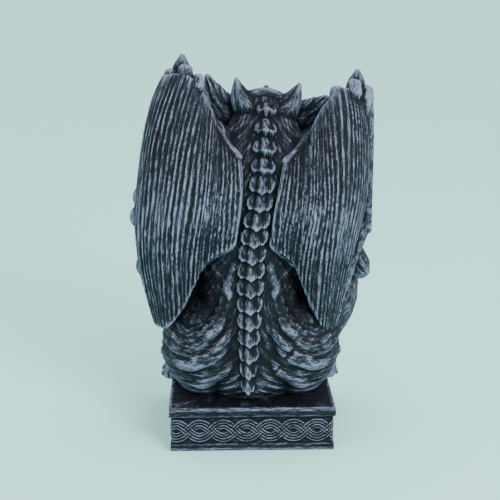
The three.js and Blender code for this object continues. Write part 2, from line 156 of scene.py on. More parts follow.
class Clay:
    """Closed shapes in one bmesh. Each vertex keeps its grain: where it is across and along the fur,
    and how far the grain runs round before it starts again."""

    LUMP_AROUND, LUMP_ROWS = 28, 18
    LIMB_AROUND, LIMB_ROWS, CAP_ROWS = 24, 36, 5
    CAP_HEIGHT = 0.7  # as a share of the limb's radius
    NO_PERIOD = 1e6

    def __init__(self) -> None:
        """Starts with nothing."""
        self.bm = bmesh.new()
        self.grain = self.bm.verts.layers.float_vector.new("grain")
        self.fresh()

    def fresh(self) -> None:
        """Starts the next shape on its own, which keeps each step quick."""
        self.shape = bmesh.new()
        self.line = self.shape.verts.layers.float_vector.new("grain")

    def place(self, verts: list, spots: Points, grain: Points, kind: Kind) -> None:
        """Moves the next shape's vertices to their places, marks them and adds the shape.

        Args:
            verts: The vertices of one closed shape.
            spots: Their places.
            grain: Their grain, three numbers each.
            kind: How the shape is carved.
        """
        for vert, spot, line in zip(verts, spots, grain):
            vert.co = spot
            vert[self.line] = line
        for face in self.shape.faces:
            face.material_index = kind.value
        bmesh.ops.recalc_face_normals(self.shape, faces=self.shape.faces)
        bmesh.ops.triangulate(self.shape, faces=self.shape.faces)
        made = bpy.data.meshes.new("shape")
        self.shape.to_mesh(made)
        self.shape.free()
        self.bm.from_mesh(made)
        bpy.data.meshes.remove(made)
        self.fresh()

    def sphere(self, around: int, rows: int) -> tuple[list, Points]:
        """A unit sphere to be reshaped.

        Args:
            around: Segments round the axis.
            rows: Segments from pole to pole.

        Returns:
            The vertices and their places.
        """
        made = bmesh.ops.create_uvsphere(self.shape, u_segments=around, v_segments=rows, radius=1)["verts"]
        return made, np.array([v.co for v in made])

    def lump(self, centre: Triple, half: Triple, turn: Triple = (0, 0, 0), kind: Kind = Kind.HIDE) -> None:
        """An egg-shaped lump.

        Args:
            centre: Its middle.
            half: Half its sizes.
            turn: Its turn about X, Y and Z in degrees.
            kind: How it is carved.
        """
        verts, ball = self.sphere(self.LUMP_AROUND, self.LUMP_ROWS)
        turned = np.array(Euler([math.radians(a) for a in turn]).to_matrix())
        wide = (half[0] + half[1]) / 2
        angle = np.arctan2(ball[:, 1], ball[:, 0]) + math.pi
        along = np.arccos(np.clip(ball[:, 2], -1, 1)) * half[2]
        grain = np.stack([angle * wide, along, np.full(len(ball), 2 * math.pi * wide)], 1)
        self.place(verts, (ball * half) @ turned.T + centre, grain, kind)

    def limb(
        self,
        points: list[Triple],
        radii: list[float] | tuple,
        ref: Triple = (0, 1, 0),
        kind: Kind = Kind.HIDE,
    ) -> None:
        """A round limb with a blunt cap at both ends.

        Args:
            points: Points that its middle passes through.
            radii: Its radius, at places spread evenly along it.
            ref: Direction that gives its roll.
            kind: How it is carved.
        """
        rows, ends = self.LIMB_ROWS, self.CAP_ROWS
        verts, ball = self.sphere(self.LIMB_AROUND, rows)
        row = np.round(np.arccos(np.clip(ball[:, 2], -1, 1)) / math.pi * rows)
        share = np.clip((row - ends) / (rows - 2 * ends), 0, 1)
        beyond = (np.maximum(row - (rows - ends), 0) - np.maximum(ends - row, 0)) / ends
        radius = np.interp(share, np.linspace(0, 1, len(radii)), radii)
        middle = spline(points, share)
        along = unit(spline(points, share + 0.01) - spline(points, share - 0.01))
        across = unit(np.cross(along, ref))
        out = np.cross(across, along)
        angle = np.arctan2(ball[:, 1], ball[:, 0])
        thin = radius * np.sqrt(np.maximum(0, 1 - beyond**2))
        spots = middle + along * (np.sin(beyond * math.pi / 2) * radius * self.CAP_HEIGHT)[:, None]
        spots += across * (np.cos(angle) * thin)[:, None] + out * (np.sin(angle) * thin)[:, None]
        span = np.linalg.norm(np.diff(spline(points, np.linspace(0, 1, 20)), axis=0), axis=1).sum()
        wide = float(np.mean(radii))
        run = share * span + beyond * wide
        grain = np.stack([(angle + math.pi) * wide, run, np.full(len(ball), 2 * math.pi * wide)], 1)
        self.place(verts, spots, grain, kind)

    def spike(self, points: list[Triple], radius: float, ref: Triple = (0, 1, 0)) -> None:
        """A claw or tooth.

        Args:
            points: Points along its middle, the tip last.
            radius: Its radius at the root.
            ref: Direction that gives its roll.
        """
        self.limb(points, [radius, radius * 0.78, radius * 0.5, radius * 0.14], ref=ref, kind=Kind.HORN)

    def slab(self, across: int, along: int) -> tuple[list, Points, Points]:
        """A closed flat slab over the unit square, to be reshaped.

        Args:
            across: Segments in its first direction.
            along: Segments in its second direction.

        Returns:
            The vertices, their places in the square, and 1 for those of the upper sheet.
        """
        low = bmesh.ops.create_grid(self.shape, x_segments=across, y_segments=along, size=0.5)["verts"]
        faces = self.shape.faces[:]
        made = bmesh.ops.extrude_face_region(self.shape, geom=faces, use_keep_orig=True)["geom"]
        high = [item for item in made if isinstance(item, bmesh.types.BMVert)]
        verts = low + high
        square = np.array([v.co[:2] for v in verts]) + 0.5
        return verts, square, np.array([0.0] * len(low) + [1.0] * len(high))


@dataclass
class Torso:
    """The trunk with chest and belly, and the outline of the back that other parts sit on."""

    haunch: Triple = (23, 10, 26)
    haunch_half: Triple = (25, 27, 29)
    segments: int = 72
    fullness: float = 1.65
    # each fold as places along it, X and Z, and its radius
    folds: list = field(
        default_factory=lambda: [
            ([(6, 116), (14, 100), (21, 86), (27, 70)], 4.6),
            ([(4, 88), (10, 66), (15, 47), (24, 37), (36, 33)], 5.2),
            ([(5, 60), (11, 40), (21, 27), (34, 21), (46, 23)], 5.0),
            ([(5, 33), (14, 18.3), (26, 11.4), (37, 10)], 4.6),
            ([(39, 62), (34, 53), (27, 45)], 5.4),
        ]
    )
    # height, depth of the middle, half width and half depth, from the seat to the head
    rings: list = field(
        default_factory=lambda: [
            (-14, 8, 24, 20), (6, 9, 32, 26), (28, 8, 33, 28), (52, 10, 29, 24), (78, 9, 29, 22),
            (104, 8, 30, 22), (121, 5, 31, 21), (136, -2, 22, 19), (148, -9, 16, 15), (158, -16, 9, 8),
        ]
    )

    def model(self, clay: Clay) -> None:
        """Adds the trunk.

        Args:
            clay: What it is added to.
        """
        verts, ball = clay.sphere(self.segments, self.segments)
        share = 1 - np.arccos(np.clip(ball[:, 2], -1, 1)) / math.pi
        full = np.minimum(1, self.fullness * np.sqrt(np.maximum(0, np.sin(math.pi * share))))
        out = unit(np.stack([ball[:, 0], ball[:, 1]], 1) + 1e-9)
        middle = spline([(0, y, z) for z, y, a, b in self.rings], share)
        girth = spline([(a, b, 0) for z, y, a, b in self.rings], share)
        swell = np.stack([out[:, 0] * girth[:, 0] * full, out[:, 1] * girth[:, 1] * full, 0 * full], 1)
        spots = middle + swell
        clay.place(verts, spots, np.zeros((len(spots), 3)), Kind.BODY)
        # chest and belly, then breast, collar and haunch on both sides
        clay.lump((0, -8, 98), (20, 13, 20), kind=Kind.BODY)
        clay.lump((0, -9, 60), (18, 14, 24), kind=Kind.BODY)
        for side in Side:
            clay.lump(side.at(11, -12, 106), (12, 9.5, 10), (10, 0, 0), Kind.BODY)
            collar = [side.at(3, -19, 118), side.at(14, -16, 121), side.at(26, -6, 121)]
            clay.limb(collar, [2.4, 3.2, 3], kind=Kind.BODY)
            clay.lump(side.at(*self.haunch), self.haunch_half, kind=Kind.BODY)
            for line, radius in self.folds:
                self.fold(clay, side, line, radius)

    def back(self, z: Points) -> Points:
        """Depth of the back along the spine.

        Args:
            z: Heights.

        Returns:
            The Y of the skin at each height.
        """
        table = np.array(self.rings, float)
        return np.interp(z, table[:, 0], table[:, 1]) + np.interp(z, table[:, 0], table[:, 3])

    def skin(self, x: float, z: float) -> float:
        """Depth of the back anywhere, with the haunches.

        Args:
            x: How far out, without its side.
            z: Height.

        Returns:
            The Y of the skin.
        """
        table = np.array(self.rings, float)
        middle, wide, deep = (float(np.interp(z, table[:, 0], table[:, k])) for k in (1, 2, 3))
        body = middle + deep * math.sqrt(max(0, 1 - (x / wide) ** 2))
        (cx, cy, cz), (a, b, c) = self.haunch, self.haunch_half
        off = ((x - cx) / a) ** 2 + ((z - cz) / c) ** 2
        return max(body, cy + b * math.sqrt(max(0, 1 - off)))

    def fold(self, clay: Clay, side: Side, line: list, radius: float) -> None:
        """Adds one fold of hide along a line on the back.

        Args:
            clay: What it is added to.
            side: The side.
            line: Places along it, X without its side and Z.
            radius: Its radius.
        """
        sinks = [1.0, *[0.68] * (len(line) - 2), 1.0]
        points = [side.at(x, self.skin(x, z) - radius * sink, z) for (x, z), sink in zip(line, sinks)]
        clay.limb(points, [radius * share for share in (0.6, 1, 1, 0.6)], ref=(1, 0, 1), kind=Kind.BODY)


@dataclass
class Leg:
    """A haunch, thigh, shin and foot."""

    side: Side
    knee_out: float
    thigh: tuple = (18.5, 13, 10)
    shin: tuple = (9.5, 7.5, 6.5)
    calf: tuple = (6, 7.5, 4)
    toe: tuple = (4.6, 3.9, 3.2)
    claw: float = 3
    small_claw: float = 2.2
    # places of the toes across the foot and of the outer toes along it
    toes: tuple = (-9, 0, 9)
    outer_toes: tuple = (-5, -14)

    def model(self, clay: Clay) -> None:
        """Adds the leg.

        Args:
            clay: What it is added to.
        """
        at, knee = self.side.at, self.knee_out
        clay.limb([at(28, 9, 32), at(knee * 0.88, -8, 43), at(knee, -24, 50)], self.thigh)
        clay.lump(at(knee, -28, 50), (7.6, 6.5, 8))
        clay.limb([at(knee, -24, 47), at(41, -20, 26), at(39, -25, 5)], self.shin)
        clay.limb([at(knee - 5, -14, 42), at(39, -11, 26), at(38, -16, 8)], self.calf)
        clay.lump(at(39, -28, 3), (8.5, 13, 6))
        for splay in self.toes:
            tip, front = 38.5 + splay * 0.8, -49 + abs(splay) * 0.35
            x = 38.5 + splay * 0.75
            clay.limb([at(x, -28, 5), at((x + tip) / 2, -36, 7), at(tip, front + 7, 3.2)], self.toe)
            clay.lump(at((x + tip) / 2, -36, 7.6), (3.9, 3.4, 3))
            clay.spike([at(tip, front + 8, 4.6), at(tip, front + 3.5, 4.4), at(tip, front, 0.9)], self.claw)
        for y in self.outer_toes:
            clay.lump(at(43.5, y, 3), (5, 4, 4.6))
            clay.spike([at(45, y, 4.5), at(48.5, y, 3.6), at(49.5, y, 0.9)], self.small_claw, ref=(0, 0, 1))
        clay.lump(at(37, -14, 4), (9, 16, 6))


@dataclass
class Arm:
    """An arm whose hand rests on the knee."""

    side: Side
    elbow: Triple
    upper: tuple = (14, 11, 6.5)
    fore: tuple = (6.5, 6.5, 4.5)
    finger: tuple = (2.6, 2.7, 2.1)
    thumb: tuple = (2.6, 2.4, 1.7)
    claw: float = 2.1
    # places of the fingers across the hand
    fingers: tuple = (-4.6, 0, 4.6)

    def model(self, clay: Clay) -> None:
        """Adds the arm.

        Args:
            clay: What it is added to.
        """
        at = self.side.at
        elbow = at(*self.elbow)
        clay.limb([at(20, 0, 116), at(36, -1, 100), elbow], self.upper)
        clay.lump(at(31, -6, 108), (10, 9, 12))
        clay.lump(at(30, 4, 76), (14, 13, 28), kind=Kind.BODY)
        clay.lump(elbow, (6.4, 6.2, 6.8))
        clay.limb([elbow, at(57, -20, 61), at(47, -33, 58)], self.fore)
        clay.lump(at(46, -36, 56), (7, 6.5, 5.5))
        for spread in self.fingers:
            x = 46 + spread
            clay.limb([at(x, -37, 58), at(x, -41.5, 55.5), at(x, -42, 50)], self.finger)
            clay.lump(at(x, -41.5, 56), (2.8, 2.6, 2.5))
            clay.spike([at(x, -42, 50.5), at(x, -42.6, 47), at(x, -40, 42)], self.claw)
        clay.limb([at(52, -32, 57), at(54.5, -36, 52), at(52.5, -39, 48)], self.thumb)


@dataclass
class Wing:
    """A folded wing: a pleated sheet with an arm bone, finger bones, knuckles and a thumb claw. The
    left one is tucked up at its foot by `tuck`."""

    side: Side
    spread: float
    pleats: int = 30
    rise: float = 1.45
    thick: float = 4.2
    tuck: float = 5
    mesh_across: int = 216
    mesh_down: int = 56
    fine_pleat: float = 0.26
    finger_bones: int = 5
    bone_rise: float = 1.5
    inner_knuckle: dict = field(default_factory=lambda: {Side.LEFT: 37.0, Side.RIGHT: 34.8})
    arm: tuple = (9, 6, 5.5)
    finger: tuple = (3, 2.8, 3.4, 2.8, 2)
    claw: tuple = (6.4, 5.4, 4.4, 1.4)
    # six guide lines from the front edge to the root: where each starts, ends and how far it bows out
    top: list = field(
        default_factory=lambda: [
            (53, 0, 161), (50, 9, 166), (39.5, 13, 166), (30, 16, 153), (23.5, 20, 139), (11, 25, 127),
        ]
    )
    foot: list = field(
        default_factory=lambda: [
            (47, 8, 42), (47, 17, 34), (42, 25, 37), (32, 31, 58), (22, 33, 78), (9, 31, 85),
        ]
    )
    bow: list = field(
        default_factory=lambda: [(9, -6, 0), (9, 9, 0), (5, 17, 0), (0, 16, 0), (-1, 10, 0), (-1, 4, 0)]
    )

    def sheet(self, s: Points, t: Points) -> Points:
        """Places on the middle of the sheet.

        Args:
            s: Shares of the way from the front edge to the root.
            t: Shares of the way from the top to the foot.

        Returns:
            One row for each pair.
        """
        t = t[:, None]
        flat = spline(self.top, s) * (1 - t) + spline(self.foot, s) * t
        if self.side is Side.LEFT:
            flat[:, 2] += self.tuck * smooth(0.6, 0.2, s) * smooth(0.5, 1, t[:, 0])
        return flat + spline(self.bow, s) * np.sin(math.pi * np.clip(t, 0, 1) ** 0.88)

    def model(self, clay: Clay) -> None:
        """Adds the wing.

        Args:
            clay: What it is added to.
        """
        self.web(clay)
        self.bones(clay)
        self.hand(clay)
        self.rims(clay)

    def web(self, clay: Clay) -> None:
        """Adds the pleated sheet.

        Args:
            clay: What it is added to.
        """
        turn = self.side.value
        verts, square, upper = clay.slab(self.mesh_across, self.mesh_down)
        s, t = square[:, 0], square[:, 1]
        e = 0.004
        over = self.sheet(np.minimum(s + e, 1), t) - self.sheet(np.maximum(s - e, 0), t)
        down = self.sheet(s, np.minimum(t + e, 1)) - self.sheet(s, np.maximum(t - e, 0))
        facing = unit(np.cross(over, down))
        edge = self.thick / 2 * (0.62 + 0.38 * np.sin(math.pi * s) ** 0.5)
        wander = 0.8 * noise(s * 6, t * 1.8, 3 + turn) + 0.36 * noise(s * 15, t * 4, 5 + turn)
        phase = s * self.pleats + wander
        crest = 1 - np.abs(2 * (phase % 1) - 1)
        uneven = 0.72 + 0.5 * noise(np.floor(phase) * 1.7, t * 2.5, 8)
        fine = 1 - np.abs(2 * ((phase * 2.6 + 0.6 * noise(s * 20, t * 6, 2)) % 1) - 1)
        pleat = (crest**1.5 * uneven + self.fine_pleat * fine) * self.rise
        fade = smooth(0, 0.04, s) * (0.35 + 0.65 * smooth(0, 0.1, t))
        # finger bones stand out of the front of the sheet
        bones = 1 - np.abs(2 * ((s * self.finger_bones + 0.1) % 1) - 1)
        front = edge - 0.4 + self.bone_rise * smooth(0.62, 1, bones) * fade
        front = front + 0.25 * noise(s * 60, t * 5, 4)
        lift = np.where(upper > 0, -(edge - 0.3) - pleat * fade, front)
        spots = self.sheet(s, t) + facing * lift[:, None]
        spots[:, 0] *= turn * self.spread
        grain = np.stack([s * 75, t * 55, np.full(len(s), clay.NO_PERIOD)], 1)
        clay.place(verts, spots, grain, Kind.WING)

    def bones(self, clay: Clay) -> None:
        """Adds the wing's arm and the finger down its front edge.

        Args:
            clay: What they are added to.
        """
        at = self.side.at
        clay.limb([at(17, 10, 122), at(30, 8, 142), at(46, 6, 163)], self.arm)
        finger = [at(53, 1, 163), at(58.5, -4, 128), at(62, -5, 96), at(55, 0, 66), at(47, 8, 44)]
        clay.limb(finger, self.finger, kind=Kind.BARE)
        clay.lump(at(63, -5, 100), (3.8, 4, 4.4), kind=Kind.BARE)
        clay.lump(at(63, -5, 90), (4.2, 4, 5), kind=Kind.BARE)

    def hand(self, clay: Clay) -> None:
        """Adds the knuckles on top and the thumb claw in front of them.

        Args:
            clay: What they are added to.
        """
        at = self.side.at
        knuckles = (
            (51.5, 7.6, 160.5, 4.3, 8.5),
            (44, 11.2, 162.5, 4.9, 9.6),
            (self.inner_knuckle[self.side], 14.6, 159.5, 3.9, 8.8),
        )
        for x, y, z, wide, long in knuckles:
            top, tip = at(x, y - 3, z + long - wide * 0.6), at(x - 0.6, y + 2.6, z - long)
            clay.limb([top, at(x, y, z), tip], [wide * 0.85, wide, wide * 0.6, 1], kind=Kind.HORN)
        claw = [at(45, 4, 158), at(46, 1, 168), at(46, 3, 176.2)]
        clay.limb(claw, self.claw, ref=(1, 0, 0), kind=Kind.HORN)

    def rims(self, clay: Clay) -> None:
        """Adds the rims of the sheet, above and below.

        Args:
            clay: What they are added to.
        """
        for edge, radii in ((0.0, [1.6, 1.7, 1.8, 2.6]), (1.0, [1.2, 1.5, 1.5, 1.4])):
            share = np.array([0.36, 0.55, 0.75, 0.97])
            rim = self.sheet(share, np.full(4, edge)) * [self.side.value * self.spread, 1, 1]
            clay.limb([tuple(spot) for spot in rim], radii, kind=Kind.BARE)


@dataclass
class SpinePlates:
    """Shield-shaped plates along the spine, each with a keel and its point over the next."""

    torso: Torso
    count: int = 17
    start: float = 11
    end: float = 152
    length: float = 13.5
    half_width: float = 7
    tip_deg: float = 15
    lift: float = 2
    sink: float = 0.9
    under: float = 3.4
    keel: float = 2.1
    hollow: float = 0.45
    lip: float = 0.3
    rough: float = 0.34
    drift: float = 2.4
    straight_from: float = 110

    def model(self, clay: Clay) -> None:
        """Adds the plates.

        Args:
            clay: What they are added to.
        """
        for number in range(self.count):
            share = number / (self.count - 1)
            z = self.start + (self.end - self.start) * share
            size = 0.72 + 0.35 * math.sin(math.pi * (0.12 + 0.8 * share))
            rise = float(self.torso.back(min(156.0, z + 4)) - self.torso.back(z - 4))
            slope = math.atan2(rise, 8)
            self.plate(clay, number, z, size, slope)

    def plate(self, clay: Clay, number: int, z: float, size: float, slope: float) -> None:
        """Adds one plate, its lower edge drawn out into three points.

        Args:
            clay: What it is added to.
            number: Its number from the bottom.
            z: Height of its middle.
            size: Its size against the full one.
            slope: Lean of the back there, in radians from upright.
        """
        verts, square, upper = clay.slab(30, 24)
        u, v = square[:, 0] * 2 - 1, square[:, 1]
        narrow = float(np.interp(number, [0, 2, 6], [0.66, 0.84, 1]))
        wide = np.interp(v, [0, 0.3, 0.65, 1], [0.36, 0.8, 0.98, 0.94]) * narrow
        edge = np.interp(np.abs(u), [0, 0.14, 0.42, 0.72, 1], [1.03, 0.97, 0.84, 0.87, 0.66])
        across = u * wide
        rough = noise(across * 5 + number * 7.3, v * 4, 31)
        rough = rough + 0.6 * noise(across * 11, v * 8 + number * 3.1, 32)
        keel = np.exp(-((across / 0.29) ** 4)) * (0.45 + 0.55 * v)
        keel = keel - 0.16 * np.cos(across * 38) * smooth(0.5, 0.2, np.abs(across))
        hollow = self.hollow * np.exp(-(((np.abs(u) - 0.56) / 0.2) ** 2)) * smooth(1.0, 0.7, v)
        lip = self.lip * smooth(0.72, 0.96, v)
        round_off = (1 - np.abs(u) ** 3) ** 0.5
        top = (1.3 + 0.9 * v - hollow + lip) * round_off + self.keel * keel + self.rough * rough
        out = np.where(upper > 0, top * size, -self.under)
        x = across * self.half_width * size
        tip = math.radians(self.tip_deg)
        down = (v * edge - 0.5) * self.length * size
        along = np.array([0, math.sin(tip - slope), -math.cos(tip - slope)])
        away = np.array([0, math.cos(tip - slope), math.sin(tip - slope)])
        aside = self.drift * max(0.0, 1 - z / self.straight_from)
        origin = np.array([aside, float(self.torso.back(z)) + self.lift - self.sink, z])
        spots = origin + along * down[:, None] + away * out[:, None]
        spots[:, 0] += x
        grain = np.stack([x + 50, down + 50, np.full(len(x), clay.NO_PERIOD)], 1)
        clay.place(verts, spots, grain, Kind.PLATE)


@dataclass
class Head:
    """A broad horned head looking ahead, with cupped ears and a snarling muzzle."""

    skull: tuple = (17, 17, 13)
    muzzle: tuple = (13, 10, 7.5)
    jaw: tuple = (10, 7, 4.6)
    horn: tuple = (8.6, 5.6, 1)
    fang: float = 2.2
    tooth: float = 1.5
    ear_tip: dict = field(default_factory=lambda: {Side.LEFT: 166.5, Side.RIGHT: 160.5})

    def model(self, clay: Clay) -> None:
        """Adds the head.

        Args:
            clay: What it is added to.
        """
        clay.lump((0, -15, 147), self.skull)
        clay.limb([(0, -22, 146), (0, -34, 142), (0, -45, 138)], self.muzzle, ref=(0, 0, 1))
        clay.limb([(0, -20, 136), (0, -32, 130), (0, -43, 128)], self.jaw, ref=(0, 0, 1))
        # nose, crest, the point in its middle and the bridge of the muzzle
        clay.lump((0, -48, 141), (5.4, 4, 3.6), kind=Kind.BARE)
        clay.limb([(-13, -8, 154), (0, -10, 158), (13, -8, 154)], [4.6, 4.2, 4.6], kind=Kind.BARE)
        clay.limb([(0, -14, 154), (0, -16, 158), (0, -18, 162)], [6.5, 4.4, 1.2], kind=Kind.HORN)
        clay.limb([(0, -28, 154), (0, -36, 150), (0, -45, 143.5)], [3, 2.6, 3], kind=Kind.BARE)
        for side in Side:
            self.half(clay, side)

    def half(self, clay: Clay, side: Side) -> None:
        """Adds what the head has on both sides.

        Args:
            clay: What it is added to.
            side: The side.
        """
        at = side.at
        clay.limb([at(10, -9, 151), at(14, -8, 157), at(17, -6, 166)], self.horn, kind=Kind.HORN)
        # brow, eye, cheek, lip and nostril
        clay.limb([at(3, -36, 151.5), at(9, -31, 154), at(15.5, -23, 152)], [2.6, 3.8, 2.6], kind=Kind.BARE)
        clay.lump(at(8, -32.5, 148.5), (3.2, 3, 2.8), kind=Kind.BARE)
        clay.lump(at(12, -25, 140), (5, 7, 5))
        clay.lump(at(6.5, -42, 137.5), (4.2, 5, 3.8))
        clay.lump(at(4.2, -48, 140.5), (2.6, 3.2, 2.4), kind=Kind.BARE)
        clay.spike([at(6, -37, 129), at(7.5, -39, 133), at(8, -40, 138)], self.fang, ref=(1, 0, 0))
        for x, y, long in ((6.4, -44.5, 5.4), (3, -47.5, 3.4)):
            tooth = [at(x, y, 134.5), at(x, y - 0.3, 132), at(x, y, 134 - long)]
            clay.spike(tooth, self.tooth, ref=(1, 0, 0))
        self.ear(clay, side)

    def ear(self, clay: Clay, side: Side) -> None:
        """Adds a cupped, grooved ear.

        Args:
            clay: What it is added to.
            side: The side.
        """
        verts, square, upper = clay.slab(22, 26)
        u, v = square[:, 0] * 2 - 1, square[:, 1]
        line = [(13, -13, 142), (24, -13, 150), (33, -11, self.ear_tip[side])]
        middle = spline(line, v)
        along = unit(spline(line, v + 0.01) - spline(line, v - 0.01))
        across = unit(np.cross(along, (0, 1, 0)))
        wide = np.interp(v, [0, 0.2, 0.5, 0.8, 1], [8.6, 10, 9, 4.6, 0.9])
        groove = 0.45 * np.cos(u * 9) * smooth(0, 0.2, v)
        cup = 2.6 * u**2 * (1 - 0.4 * v)
        back = 2.0 * np.sqrt(np.maximum(0, 1 - u**2)) + 0.4
        deep = np.where(upper > 0, back + groove, -0.5) - cup * 0.8
        spots = middle + across * (u * wide)[:, None]
        spots[:, 1] += deep
        spots[:, 0] *= side.value
        grain = np.stack([u * wide + 50, v * 30, np.full(len(u), clay.NO_PERIOD)], 1)
        clay.place(verts, spots, grain, Kind.HIDE)


@dataclass(frozen=True)
class StoneFinish:
    """Near-black cast stone with pale blue-grey paint brushed over what stands proud."""

    name: str
    deep: Triple = (0.0015, 0.0025, 0.0045)
    ground: Triple = (0.0145, 0.0205, 0.031)
    pale: Triple = (0.158, 0.176, 0.252)
    deep_at: float = 0.1
    ground_at: float = 0.46
    pale_at: float = 1.0
    rough: float = 0.7
    sheen: float = 0.16
    # strokes to a millimetre across the grain, and what that is multiplied by along it and for hairs
    stroke: float = 1.3
    stroke_run: float = 0.13
    stroke_weight: float = 1.1
    hair: float = 1.6
    hair_run: float = 0.22
    hair_weight: float = 2.3
    speck_scale: float = 1400
    speck_weight: float = 1.0
    patch_scale: float = 90
    patch_weight: float = 0.35
    texture_rough: float = 0.6
    bump_strength: float = 0.8
    bump_height: float = 0.0004

    def material(self) -> bpy.types.Material:
        """The finish as a node material. It reads the mesh attributes worn and grain.

        Returns:
            The material.
        """
        made = bpy.data.materials.new(self.name)
        made.use_nodes = True
        tree = made.node_tree
        shader = tree.nodes["Principled BSDF"]
        shader.inputs["Roughness"].default_value = self.rough
        shader.inputs["Specular IOR Level"].default_value = self.sheen

        def node(kind: str, **values: float | str) -> bpy.types.Node:
            """A new node with some of its properties set."""
            new = tree.nodes.new(kind)
            for key, value in values.items():
                setattr(new, key, value)
            return new

        def maths(operation: str, one: object, two: object) -> bpy.types.NodeSocket:
            """The result of a sum on two sockets or numbers."""
            new = node("ShaderNodeMath", operation=operation)
            for socket, value in zip(new.inputs, (one, two)):
                if isinstance(value, (int, float)):
                    socket.default_value = value
                else:
                    tree.links.new(value, socket)
            return new.outputs[0]

        def grains(scale: float, detail: float, vector: bpy.types.NodeSocket) -> bpy.types.NodeSocket:
            """Random values from 0 to 1 over a vector."""
            new = node("ShaderNodeTexNoise")
            new.inputs["Scale"].default_value = scale
            new.inputs["Detail"].default_value = detail
            new.inputs["Roughness"].default_value = self.texture_rough
            tree.links.new(vector, new.inputs["Vector"])
            return new.outputs["Fac"]

        # the attribute read here holds the brushed paint together with painted shade round the hips and
        # painted shadow on the plinth's top
        paint_and_shade = node("ShaderNodeAttribute", attribute_name="paint_and_shade").outputs["Fac"]
        grain = node("ShaderNodeAttribute", attribute_name="grain").outputs["Vector"]
        place = node("ShaderNodeTexCoord").outputs["Object"]

        def brushed(across: float, along: float) -> bpy.types.NodeSocket:
            """Random values drawn out along the grain."""
            squeeze = node("ShaderNodeVectorMath", operation="MULTIPLY")
            squeeze.inputs[1].default_value = (across, along, 1)
            tree.links.new(grain, squeeze.inputs[0])
            return grains(1, 3, squeeze.outputs[0])

        strokes = brushed(self.stroke, self.stroke * self.stroke_run)
        hairs = brushed(self.stroke * self.hair, self.stroke * self.hair_run)
        specks = grains(self.speck_scale, 4, place)
        patches = grains(self.patch_scale, 3, place)
        mask = paint_and_shade
        layers = (
            (strokes, self.stroke_weight),
            (hairs, self.hair_weight),
            (specks, self.speck_weight),
            (patches, self.patch_weight),
        )
        for layer, weight in layers:
            mask = maths("ADD", mask, maths("MULTIPLY", maths("SUBTRACT", layer, 0.5), weight))
        ramp = node("ShaderNodeValToRGB")
        stops = ramp.color_ramp.elements
        stops[0].position, stops[0].color = self.deep_at, (*self.deep, 1)
        stops[1].position, stops[1].color = self.pale_at, (*self.pale, 1)
        middle = stops.new(self.ground_at)
        middle.color = (*self.ground, 1)
        tree.links.new(mask, ramp.inputs["Fac"])
        tree.links.new(ramp.outputs["Color"], shader.inputs["Base Color"])
        height = maths("ADD", hairs, maths("MULTIPLY", specks, 0.5))
        bump = node("ShaderNodeBump")
        bump.inputs["Strength"].default_value = self.bump_strength
        bump.inputs["Distance"].default_value = self.bump_height
        tree.links.new(height, bump.inputs["Height"])
        tree.links.new(bump.outputs["Normal"], shader.inputs["Normal"])
        return made


class Skin:
    """The places, edges and outward directions of a mesh, as arrays that can be carved."""

    def __init__(self, mesh: bpy.types.Mesh) -> None:
        """Reads a mesh.

        Args:
            mesh: The mesh.
        """
        self.mesh = mesh
        self.spots = np.zeros(len(mesh.vertices) * 3, np.float32)
        mesh.vertices.foreach_get("co", self.spots)
        self.spots = self.spots.reshape(-1, 3).astype(float)
        self.edges = np.zeros(len(mesh.edges) * 2, np.int32)
        mesh.edges.foreach_get("vertices", self.edges)
        self.edges = self.edges.reshape(-1, 2)
        self.degree = np.maximum(np.bincount(self.edges.ravel(), minlength=len(self.spots)), 1)

    def facing(self) -> Points:
        """Outward direction of each vertex."""
        out = np.zeros(len(self.mesh.vertices) * 3, np.float32)
        self.mesh.vertex_normals.foreach_get("vector", out)
        return out.reshape(-1, 3).astype(float)

    def blur(self, values: Points, times: int, share: float = 0.6) -> Points:
        """Values evened out over the mesh.

        Args:
            values: One number or row for each vertex.
            times: How many passes.
            share: How far each pass goes to the neighbours' mean.

        Returns:
            The evened values.
        """
        one, two = self.edges[:, 0], self.edges[:, 1]
        shape = values.shape
        columns = values.reshape(len(values), -1).T.copy()
        for _ in range(times):
            for k, column in enumerate(columns):
                total = np.bincount(one, column[two], len(column))
                total = total + np.bincount(two, column[one], len(column))
                columns[k] = column * (1 - share) + total / self.degree * share
        return columns.T.reshape(shape)

    def store(self) -> None:
        """Writes the places back to the mesh."""
        self.mesh.vertices.foreach_set("co", self.spots.astype(np.float32).ravel())
        self.mesh.update()

    def largest(self) -> Points:
        """Which vertices are on the largest connected skin."""
        label = np.arange(len(self.spots))
        one, two = self.edges[:, 0], self.edges[:, 1]
        while True:
            low = label.copy()
            np.minimum.at(low, label[one], label[two])
            np.minimum.at(low, label[two], label[one])
            low = low[low][label]
            low = np.minimum(low, low[low])
            if np.array_equal(low, label):
                break
            label = low
        return label == np.bincount(label).argmax()


def linked(name: str, data: bpy.types.ID) -> bpy.types.Object:
    """A new object in the scene that holds some data."""
    made = bpy.data.objects.new(name, data)
    bpy.context.scene.collection.objects.link(made)
    return made


def evaluated(mesh: bpy.types.Mesh, kind: str, **settings: object) -> bpy.types.Mesh:
    """A mesh with one modifier applied.

    Args:
        mesh: The mesh, which is removed.
        kind: Type of the modifier.
        settings: Properties of the modifier.

    Returns:
        The new mesh.
    """
    holder = linked("holder", mesh)
    modifier = holder.modifiers.new("step", kind)
    for key, value in settings.items():
        setattr(modifier, key, value)
    made = bpy.data.meshes.new_from_object(holder.evaluated_get(bpy.context.evaluated_depsgraph_get()))
    bpy.data.objects.remove(holder)
    bpy.data.meshes.remove(mesh)
    return made


